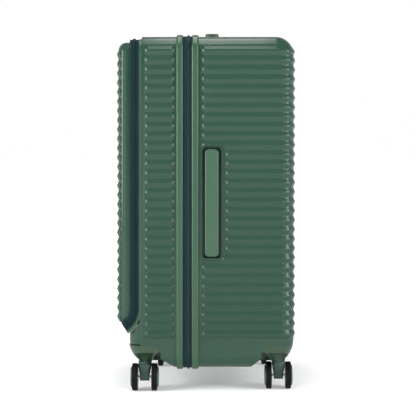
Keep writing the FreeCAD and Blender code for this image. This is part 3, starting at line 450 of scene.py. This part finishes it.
def plan_route(skeleton, radius):
    """A walk round rounded corners seen from above, anticlockwise.

    Gives its length and a function from a place on it to the point of the skeleton and the way out.
    """
    pieces = []
    length = 0.0
    for i, (start, end) in enumerate(zip(skeleton, skeleton[1:])):
        start, end = Vector(start), Vector(end)
        along = (end - start).normalized()
        outward = Vector((along.y, -along.x))
        if i > 0:
            pieces.append((length, radius * math.pi / 2, start, None, pieces[-1][4]))
            length += radius * math.pi / 2
        pieces.append((length, (end - start).length, start, along, outward))
        length += (end - start).length

    def at(place):
        begin, size, start, along, outward = [p for p in pieces if p[0] <= place + 1e-9][-1]
        if along is None:
            turn = (place - begin) / radius
            turned = Vector((outward.x * math.cos(turn) - outward.y * math.sin(turn),
                             outward.x * math.sin(turn) + outward.y * math.cos(turn)))
            return start, turned
        return start + along * (place - begin), outward

    return length, at


def half_width(offset, half_u, half_v, radius):
    """Half the width of a rounded clearing at one height from its middle, 0 beyond its ends."""
    if abs(offset) >= half_v:
        return 0.0
    into_corner = max(0.0, abs(offset) - (half_v - radius))
    return half_u - radius + math.sqrt(radius ** 2 - into_corner ** 2)


def rib_runs(z, length, clearings, shortest):
    """The stretches of one rib between its ends and the clearings that it meets."""
    cuts = []
    for middle, height, *shape in clearings:
        half = half_width(z - height, *shape)
        if half > 0:
            cuts.append((middle - half, middle + half))
    runs = []
    start = FIELD_MARGIN
    for cut_start, cut_end in sorted(cuts) + [(length - FIELD_MARGIN, length)]:
        if cut_start - start > shortest:
            runs.append((start, cut_start))
        start = cut_end
    return runs


def rib_swell(share):
    """Height of a rib at a share of the way from its crest to its foot: straight flanks, eased ends."""
    wave = 0.5 + 0.5 * np.cos(np.pi * np.minimum(share, 1))
    flank = np.clip((FLANK[1] - share) / (FLANK[1] - FLANK[0]), 0, 1)
    return WAVE_SHARE * wave + (1 - WAVE_SHARE) * flank


def grid_places(skeleton, radius, length, field_z, pitch, clearings):
    """Places along the route and heights of the rows, closer at rib ends, edges and corners."""
    zones = [(0, END_REACH, END_STEP), (length - END_REACH, length, END_STEP)]
    rows_near = [(edge - FIELD_EDGE_REACH, edge + FIELD_EDGE_REACH, EDGE_STEP) for edge in field_z]
    for middle, height, half_u, half_v, _ in clearings:
        for edge in (middle - half_u, middle + half_u):
            zones.append((edge - END_REACH, edge + END_REACH, END_STEP))
        for edge in (height - half_v, height + half_v):
            rows_near.append((edge - PAD_EDGE_REACH, edge + PAD_EDGE_REACH, EDGE_STEP))
    corner_length = radius * math.pi / 2
    run = 0.0
    for start, end in zip(skeleton[:-1], skeleton[1:-1]):
        run += (Vector(end) - Vector(start)).length
        zones.append((run - CORNER_EASE, run + corner_length + CORNER_EASE, CORNER_STEP))
        run += corner_length
    columns = stations(0, length, COARSE_STEP, zones)
    rows = stations(field_z[0] - FIELD_MARGIN, field_z[1] + FIELD_MARGIN, pitch / ROWS_PER_RIB, rows_near)
    return columns, rows


def rib_lift(along, z, length, ribs, clearings):
    """How far the ribs stand out of the smooth shape at each point of the grid."""
    top, pitch, count = ribs
    half = pitch / 2
    nearest = np.clip(np.round((top - z) / pitch), 0, count - 1).astype(int)
    lift = np.zeros_like(z)
    for rib in range(count):
        height = top - rib * pitch
        chosen = nearest == rib
        for start, end in rib_runs(height, length, clearings, 2 * RIB_END):
            beyond = np.maximum(start + RIB_END - along, along - (end - RIB_END))
            across = np.hypot(np.maximum(beyond, 0) * half / RIB_END, z - height)
            lift = np.where(chosen, np.maximum(lift, RIB_HEIGHT * rib_swell(across / half)), lift)
    return lift


def pushed_out(distance, origins, outward, z, lift, furthest):
    """Where rays from a route reach the given lift over a smooth shape, found by halving."""
    low = np.zeros_like(z)
    high = np.full_like(z, furthest)
    for _ in range(HALVINGS):
        reach = (low + high) / 2
        x = origins[:, 0] + outward[:, 0] * reach
        y = origins[:, 1] + outward[:, 1] * reach
        outside = distance(x, y, z) > lift
        high = np.where(outside, reach, high)
        low = np.where(outside, low, reach)
    return np.stack([x, y, z], axis=-1).reshape(-1, 3)


def ribbed_sheet(distance, skeleton, radius, field_z, ribs, clearings):
    """Vertices and faces of a ribbed panel over a smooth shape, with its edges tucked under it.

    clearings are (place along the route, height, half width, half height, corner radius).
    """
    length, at = plan_route(skeleton, radius)
    columns, rows = grid_places(skeleton, radius, length, field_z, ribs[1], clearings)
    along, z = np.meshgrid(columns, rows)
    margin = np.minimum(np.minimum(along, length - along) - FIELD_MARGIN,
                        np.minimum(z - field_z[0], field_z[1] - z))
    for middle, height, half_u, half_v, corner in clearings:
        box = (middle - half_u, middle + half_u, height - half_v, height + half_v)
        margin = np.minimum(margin, rounded_rectangle(along, z, box, corner))

    lift = np.where(margin < 0, -FIELD_TUCK, rib_lift(along, z, length, ribs, clearings))
    origins = np.array([at(place)[0] for place in columns])
    outward = np.array([at(place)[1] for place in columns])
    vertices = pushed_out(distance, origins, outward, z, lift, radius + 2 * RIB_HEIGHT)

    wide = len(columns)
    kept = margin > -FIELD_MARGIN
    faces = []
    for row in range(len(rows) - 1):
        for column in range(wide - 1):
            if kept[row:row + 2, column:column + 2].any():
                first = row * wide + column
                faces.append((first, first + 1, first + wide + 1, first + wide))
    return vertices, faces


def ribbed_shell(node, distance, sheets):
    """A shell whose plain raised panels give way to ribbed sheets; it stands for the CAD node."""
    points, triangles = node_arrays(node)
    middles = points[triangles].mean(axis=1)
    outside = distance(*middles.T) > PANEL_RISE
    vertices = [points]
    faces = [tuple(t) for t in triangles[~outside]]
    count = len(points)
    for sheet_vertices, sheet_faces in sheets:
        faces += [tuple(i + count for i in face) for face in sheet_faces]
        vertices.append(sheet_vertices)
        count += len(sheet_vertices)
    used = sorted({i for face in faces for i in face})
    place = {old: new for new, old in enumerate(used)}
    faces = [tuple(place[i] for i in face) for face in faces]
    shell = mesh_object(node + "_ribbed", np.concatenate(vertices)[used], faces, [MATERIALS["shell"]],
                        sharp_deg=40)
    weighted_normals(shell)
    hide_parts(node)
    return placed(shell, frame["nodes"][node]["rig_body"])


def foot_clearings(node, along_of):
    """Clearings round the two side feet of a half; along_of turns a depth into a place on the route."""
    low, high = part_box(node)
    middle_y = (low.y + high.y) / 2
    foot_radius = (high.y - low.y) / 2
    return [(along_of(middle_y), z, *FOOT_PAD) for z in (low.z + foot_radius, high.z - foot_radius)]


def rear_shell():
    inner_x = CASE_HALF_X - SIDE_RADIUS
    inner_y = CASE_BACK_Y - SIDE_RADIUS
    start_y = REAR_FIELD_Y - FIELD_MARGIN
    skeleton = [(inner_x, start_y), (inner_x, inner_y), (-inner_x, inner_y), (-inner_x, start_y)]
    length, _ = plan_route(skeleton, SIDE_RADIUS)
    low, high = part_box("side_handle_core")
    handle_y = (low.y + high.y) / 2
    handle_z = (low.z + high.z) / 2
    clearings = [(handle_y - start_y, handle_z, *HANDLE_PAD)]
    clearings += foot_clearings("rear_side_feet", lambda y: length - (y - start_y))
    sheet = ribbed_sheet(case_distance, skeleton, SIDE_RADIUS, CASE_FIELD_Z, CASE_RIBS, clearings)
    return ribbed_shell("rear_shell", case_distance, [sheet])


def front_shell():
    inner_x = CASE_HALF_X - SIDE_RADIUS
    y0 = FRONT_FIELD_Y[0] - FIELD_MARGIN
    y1 = FRONT_FIELD_Y[1] + FIELD_MARGIN
    feet = foot_clearings("front_side_feet", lambda y: y1 - y)
    sides = (([(inner_x, y0), (inner_x, y1)], []), ([(-inner_x, y1), (-inner_x, y0)], feet))
    sheets = [ribbed_sheet(case_distance, skeleton, SIDE_RADIUS, CASE_FIELD_Z, CASE_RIBS, clearings)
              for skeleton, clearings in sides]
    return ribbed_shell("front_shell", case_distance, sheets)


def lid_shell():
    inner_x = LID_HALF_X - LID_ROUTE_RADIUS
    inner_y = LID_FRONT_Y + LID_ROUTE_RADIUS
    end_y = LID_FIELD_Y + FIELD_MARGIN
    skeleton = [(-inner_x, end_y), (-inner_x, inner_y), (inner_x, inner_y), (inner_x, end_y)]
    sheet = ribbed_sheet(lid_distance, skeleton, LID_ROUTE_RADIUS, LID_FIELD_Z, LID_RIBS, [])
    return ribbed_shell("lid_shell", lid_distance, [sheet])


# ---------------------------------------------------------------- zips

def frames_along(skeleton, radius, spacing, shift, to_3d):
    """Evenly spaced (place, along, outward) on a walk; to_3d turns 2-D points and ways into 3-D."""
    length, at = plan_route(skeleton, radius)
    frames = []
    count = int(length / spacing)
    for i in range(count):
        origin, outward = at((i + shift) * length / count)
        along = Vector((-outward.y, outward.x))
        frames.append((to_3d(origin + outward * radius, 1), to_3d(along, 0), to_3d(outward, 0)))
    return frames


def at_depth(y):
    """Turns the 2-D points and ways of a walk seen from the front into 3-D ones at a depth."""
    return lambda p, is_place: Vector((p.x, y * is_place, p.y))


def main_zip_frames(y, proud, spacing, shift=0.5):
    """Round the main opening from the hinge side along the bottom, the handle side and the top."""
    inner_x = CASE_HALF_X - SIDE_RADIUS
    low_z, high_z = CASE_BOTTOM_Z + SIDE_RADIUS, CASE_TOP_Z - SIDE_RADIUS
    skeleton = [(-inner_x, low_z), (inner_x, low_z), (inner_x, high_z), (-inner_x, high_z)]
    return frames_along(skeleton, SIDE_RADIUS + proud, spacing, shift, at_depth(y))


def pocket_zip_frames(distance, proud, spacing, shift=0.5):
    """Round the front pocket: up one side, over the top and down, with a bend forwards at each foot."""
    bend_y, bend_z = POCKET_BEND
    inner_x, inner_z = POCKET_HALF_X - POCKET_RADIUS, POCKET_TOP_Z - POCKET_RADIUS
    skeleton = [(inner_x, bend_z), (inner_x, inner_z), (-inner_x, inner_z), (-inner_x, bend_z)]
    frames = frames_along(skeleton, POCKET_RADIUS + proud, spacing, shift, at_depth(bend_y + distance))
    steps = int(POCKET_BEND_ANGLE * distance / spacing)
    for side in (-1, 1):
        for i in range(steps):
            angle = (i + shift) * POCKET_BEND_ANGLE / steps
            place = Vector((side * (POCKET_HALF_X + proud), bend_y + distance * math.cos(angle),
                            bend_z - distance * math.sin(angle)))
            along = Vector((0, -math.sin(angle), -math.cos(angle)))
            frames.append((place, along, Vector((side, 0, 0))))
    return frames


def row_of_pieces(name, body, material, frames, size, taper):
    """Small truncated pyramids in one mesh, half sunk into what they sit on.

    size is their length along the row, their width across it and their height.
    """
    half_along, half_across, height = size[0] / 2, size[1] / 2, size[2]
    vertices = []
    faces = []
    for place, along, outward in frames:
        across = along.cross(outward)
        first = len(vertices)
        for level, share in ((-height, 1.0), (height, taper)):
            for u, v in ((-1, -1), (1, -1), (1, 1), (-1, 1)):
                vertices.append(place + along * (u * half_along * share)
                                + across * (v * half_across * share) + outward * level)
        sides = [(i, (i + 1) % 4, (i + 1) % 4 + 4, i + 4) for i in range(4)]
        faces += [tuple(first + i for i in face) for face in sides + [(4, 5, 6, 7), (3, 2, 1, 0)]]
    return placed(mesh_object(name, vertices, faces, [material]), body)


def zip_details():
    """Teeth on both zips, their two halves in step with each other, and the seams that hold the tapes."""
    tooth_offset = (COIL_WIDTH + TOOTH_GAP) / 2
    crest = MAIN_TAPE_PROUD + COIL_HEIGHT
    for name, body, way, shift in (("rear", "rear_case", 1, 0.25), ("front", "front_case", -1, 0.75)):
        teeth = main_zip_frames(PARTING_Y + way * tooth_offset, crest, TOOTH_PITCH, shift)
        row_of_pieces(f"main_teeth_{name}", body, COIL, teeth, TOOTH, 0.7)
        seam = main_zip_frames(PARTING_Y + way * MAIN_SEAM, MAIN_TAPE_PROUD, STITCH_PITCH)
        row_of_pieces(f"main_seam_{name}", body, THREAD, seam, STITCH, 0.8)
    for name, body, way, shift in (("case", "front_case", 1, 0.25), ("lid", "pocket_lid", -1, 0.75)):
        teeth = pocket_zip_frames(POCKET_COIL_R + way * tooth_offset, COIL_HEIGHT, TOOTH_PITCH, shift)
        row_of_pieces(f"pocket_teeth_{name}", body, COIL, teeth, TOOTH, 0.7)
        seam = pocket_zip_frames(POCKET_SEAM_R[name], 0, STITCH_PITCH)
        row_of_pieces(f"pocket_seam_{name}", body, THREAD, seam, STITCH, 0.8)


def cloth_strip(name, path, outward, width_way, half_width, thickness):
    """A strip of webbing along a path; outward is the way its face looks."""
    vertices = []
    columns = 4
    for point in path:
        for level in (0, thickness):
            for i in range(columns + 1):
                across = (2 * i / columns - 1) * half_width
                vertices.append(point + width_way * across + outward * level)
    wide = 2 * (columns + 1)
    faces = []
    for row in range(len(path) - 1):
        first = row * wide
        ring = list(range(columns + 1)) + list(range(wide - 1, columns, -1))
        for here, there in zip(ring, ring[1:] + ring[:1]):
            faces.append((first + here, first + there, first + wide + there, first + wide + here))
    for first in (0, (len(path) - 1) * wide):
        for i in range(columns):
            faces.append((first + i, first + i + 1, first + columns + 2 + i, first + columns + 1 + i))
    return mesh_object(name, vertices, faces, [MATERIALS["zip_tape"]])


def hinge_tape():
    """Webbing that joins the two halves along the hinge side."""
    face_x = -CASE_HALF_X - MAIN_TAPE_PROUD
    middle_z = (CASE_BOTTOM_Z + CASE_TOP_Z) / 2
    half_length = (CASE_TOP_Z - CASE_BOTTOM_Z) / 2 - SIDE_RADIUS
    rear_y, front_y = HINGE_TAPE_Y
    steps = 24
    path = [Vector((face_x, rear_y + (front_y - rear_y) * i / steps, middle_z)) for i in range(steps + 1)]
    main = cloth_strip("main_hinge_tape", path, Vector((-1, 0, 0)), Vector((0, 0, 1)), half_length,
                       HINGE_TAPE_THICKNESS)
    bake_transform(main)


# ---------------------------------------------------------------- linings

def draped_copy(name, node, body, depth, way_in, hold):
    """Cloth with soft wrinkles in place of a CAD lining.

    way_in gives the way into the case at a point, and hold the share of the wrinkles that it takes,
    so that both faces of the cloth move together.
    """
    work = bmesh.new()
    work.from_mesh(frame["nodes"][node].data)
    low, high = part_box(node)
    for axis in range(3):
        normal = [0, 0, 0]
        normal[axis] = 1
        for i in range(1, int((high[axis] - low[axis]) / CLOTH_GRID) + 1):
            cut = [0, 0, 0]
            cut[axis] = low[axis] + i * CLOTH_GRID
            geometry = work.verts[:] + work.edges[:] + work.faces[:]
            bmesh.ops.bisect_plane(work, geom=geometry, plane_co=cut, plane_no=normal)
    bmesh.ops.triangulate(work, faces=[f for f in work.faces if len(f.verts) > 4])
    for vertex in work.verts:
        point = vertex.co
        folds = noise.noise(Vector((point.x, point.y * 1.6, point.z * 0.6)) / FOLD_SIZE)
        creases = noise.noise(point / CREASE_SIZE)
        share = FOLD_SHARE * (0.5 + 0.5 * folds) + (1 - FOLD_SHARE) * abs(creases)
        vertex.co = point + way_in(point) * (depth * share * hold(point))
    mesh = bpy.data.meshes.new(name)
    work.to_mesh(mesh)
    work.free()
    mesh.materials.append(MATERIALS["lining"])
    obj = bpy.data.objects.new(name, mesh)
    bpy.context.scene.collection.objects.link(obj)
    mesh.shade_smooth()
    mesh.set_sharp_from_angle(angle=math.radians(50))
    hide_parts(node)
    return placed(obj, body)


def away_from_edges(node):
    """A hold on a flat lining that lets its wrinkles grow from the edges to the middle."""
    low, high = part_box(node)

    def hold(point):
        edge = min(point.x - low.x, high.x - point.x, point.z - low.z, high.z - point.z)
        return min(1.0, max(0.0, (edge - DIVIDER_ZIP_INSET) / EDGE_HOLD))
    return hold


def linings():
    """The cloth of the rear half, of the divider and of the pocket lid."""
    low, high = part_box("rear_lining")

    def into_case(point):
        """Straight in from the nearest wall of the rear half."""
        ways = ((CASE_HALF_X - LINING_INSET - abs(point.x), Vector((-math.copysign(1, point.x), 0, 0))),
                (CASE_TOP_Z - LINING_INSET - point.z, Vector((0, 0, -1))),
                (point.z - CASE_BOTTOM_Z - LINING_INSET, Vector((0, 0, 1))),
                (high.y - point.y, Vector((0, -1, 0))))
        pull = Vector((0, 0, 0))
        for gap, way in ways:
            pull += way * math.exp(-max(gap, 0) / WALL_REACH)
        return pull.normalized()

    def away_from_rim(point):
        return min(1.0, max(0.0, (point.y - low.y - RIM_HOLD[0]) / RIM_HOLD[1]))

    draped_copy("rear_lining_cloth", "rear_lining", "rear_case", 2.2 * MM, into_case, away_from_rim)
    draped_copy("front_divider_panel", "front_divider", "front_case", 2.6 * MM,
                lambda point: Vector((0, -1, 0)), away_from_edges("front_divider"))
    divider_zip()
    draped_copy("lid_lining_cloth", "lid_lining", "pocket_lid", 1.6 * MM,
                lambda point: Vector((0, 1, 0)), away_from_edges("lid_lining"))


def divider_zip():
    """The zip that opens the divider on three sides, and the seam that binds its edge."""
    low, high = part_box("front_divider")
    for name, slot, material, inset, spacing, size in (
            ("divider_teeth", "zip_tape", COIL, DIVIDER_ZIP_INSET, TOOTH_PITCH, DIVIDER_TOOTH),
            ("divider_seam", "lining", THREAD, DIVIDER_SEAM_INSET, STITCH_PITCH, STITCH)):
        radius = DIVIDER_CORNER_RADIUS - inset
        x = high.x - inset - radius
        z0, z1 = low.z + inset + radius, high.z - inset - radius
        skeleton = [(-x, z0), (x, z0), (x, z1), (-x, z1)]
        walk = frames_along(skeleton, radius, spacing, 0.5, at_depth(high.y))
        frames = [(place, along, Vector((0, 1, 0))) for place, along, _ in walk]
        row_of_pieces(name, "front_case", material, frames, size, 0.7)


# ---------------------------------------------------------------- floor, light and camera

def floor():
    mesh = bpy.data.meshes.new("floor")
    work = bmesh.new()
    bmesh.ops.create_circle(work, cap_ends=True, segments=96, radius=FLOOR_RADIUS)
    work.to_mesh(mesh)
    work.free()
    obj = bpy.data.objects.new("floor", mesh)
    bpy.context.scene.collection.objects.link(obj)
    obj.data.materials.append(floor_material())


def floor_material():
    """A white sweep that takes a soft shadow near the case and glows evenly white further out."""
    material = surface("studio_floor", (0.90, 0.90, 0.90), 0.8, 5 * MM, 0.01 * MM, patch=0.01, gloss=0.1)
    nodes, links = material.node_tree.nodes, material.node_tree.links
    distance = nodes.new("ShaderNodeVectorMath")
    distance.operation = "LENGTH"
    links.new(nodes["Texture Coordinate"].outputs["Object"], distance.inputs[0])
    glow = eased(nodes, links, distance.outputs["Value"], FLOOR_GLOW_REACH, FLOOR_GLOW)
    shader = nodes["Principled BSDF"]
    shader.inputs["Emission Color"].default_value = (1, 1, 1, 1)
    links.new(glow, shader.inputs["Emission Strength"])
    return material


def area_light(name, place, target, size, watts):
    data = bpy.data.lights.new(name, "AREA")
    data.shape = "RECTANGLE"
    data.size, data.size_y = size
    data.energy = watts
    obj = bpy.data.objects.new(name, data)
    bpy.context.scene.collection.objects.link(obj)
    obj.location = place
    obj.rotation_euler = (Vector(target) - Vector(place)).to_track_quat("-Z", "Y").to_euler()


def eased(nodes, links, value, reach, results=(0, 1)):
    """The first result below the reach, the second above it and a smooth change between."""
    ease = nodes.new("ShaderNodeMapRange")
    ease.interpolation_type = "SMOOTHSTEP"
    ease.inputs["From Min"].default_value = reach[0]
    ease.inputs["From Max"].default_value = reach[1]
    ease.inputs["To Min"].default_value = results[0]
    ease.inputs["To Max"].default_value = results[1]
    links.new(value, ease.inputs["Value"])
    return ease.outputs["Result"]


def world():
    """White walls behind and beside the case, darker above and in front, and a white backdrop."""
    scene_world = bpy.data.worlds.new("studio")
    scene_world.use_nodes = True
    bpy.context.scene.world = scene_world
    nodes = scene_world.node_tree.nodes
    links = scene_world.node_tree.links
    output = nodes["World Output"]
    lighting = nodes["Background"]
    lighting.inputs["Color"].default_value = (1, 1, 1, 1)
    direction = nodes.new("ShaderNodeSeparateXYZ")
    links.new(nodes.new("ShaderNodeTexCoord").outputs["Generated"], direction.inputs["Vector"])
    above = nodes.new("ShaderNodeMath")
    above.operation = "MULTIPLY"
    links.new(eased(nodes, links, direction.outputs["Z"], WORLD_ABOVE), above.inputs[0])
    above.inputs[1].default_value = WORLD_ABOVE_SHARE
    dark = nodes.new("ShaderNodeMath")
    dark.operation = "MAXIMUM"
    links.new(eased(nodes, links, direction.outputs["X"], WORLD_NEAR), dark.inputs[0])
    links.new(above.outputs["Value"], dark.inputs[1])
    strength = nodes.new("ShaderNodeMapRange")
    strength.inputs["To Min"].default_value = WORLD_STRENGTH[0]
    strength.inputs["To Max"].default_value = WORLD_STRENGTH[1]
    links.new(dark.outputs["Value"], strength.inputs["Value"])
    links.new(strength.outputs["Result"], lighting.inputs["Strength"])
    backdrop = nodes.new("ShaderNodeBackground")
    backdrop.inputs["Color"].default_value = (1, 1, 1, 1)
    backdrop.inputs["Strength"].default_value = 1.0
    seen = nodes.new("ShaderNodeLightPath")
    either = nodes.new("ShaderNodeMixShader")
    links.new(seen.outputs["Is Camera Ray"], either.inputs["Fac"])
    links.new(lighting.outputs["Background"], either.inputs[1])
    links.new(backdrop.outputs["Background"], either.inputs[2])
    links.new(either.outputs["Shader"], output.inputs["Surface"])


def lights():
    for name, (place, target, size, watts) in AREA_LIGHTS.items():
        area_light(name, place, target, size, watts)


def camera():
    """Level with the case's upper third, square to its +X side."""
    data = bpy.data.cameras.new("camera")
    data.lens = CAMERA_LENS
    data.shift_x, data.shift_y = CAMERA_SHIFT
    obj = bpy.data.objects.new("camera", data)
    bpy.context.scene.collection.objects.link(obj)
    obj.location = CAMERA_PLACE
    obj.rotation_euler = (math.radians(90), 0, math.radians(90))
    bpy.context.scene.camera = obj
    bpy.context.scene.view_settings.view_transform = "Standard"


dress_nodes()
paint_details()
rear_shell()
front_shell()
lid_shell()
zip_details()
hinge_tape()
linings()
floor()
world()
lights()
camera()
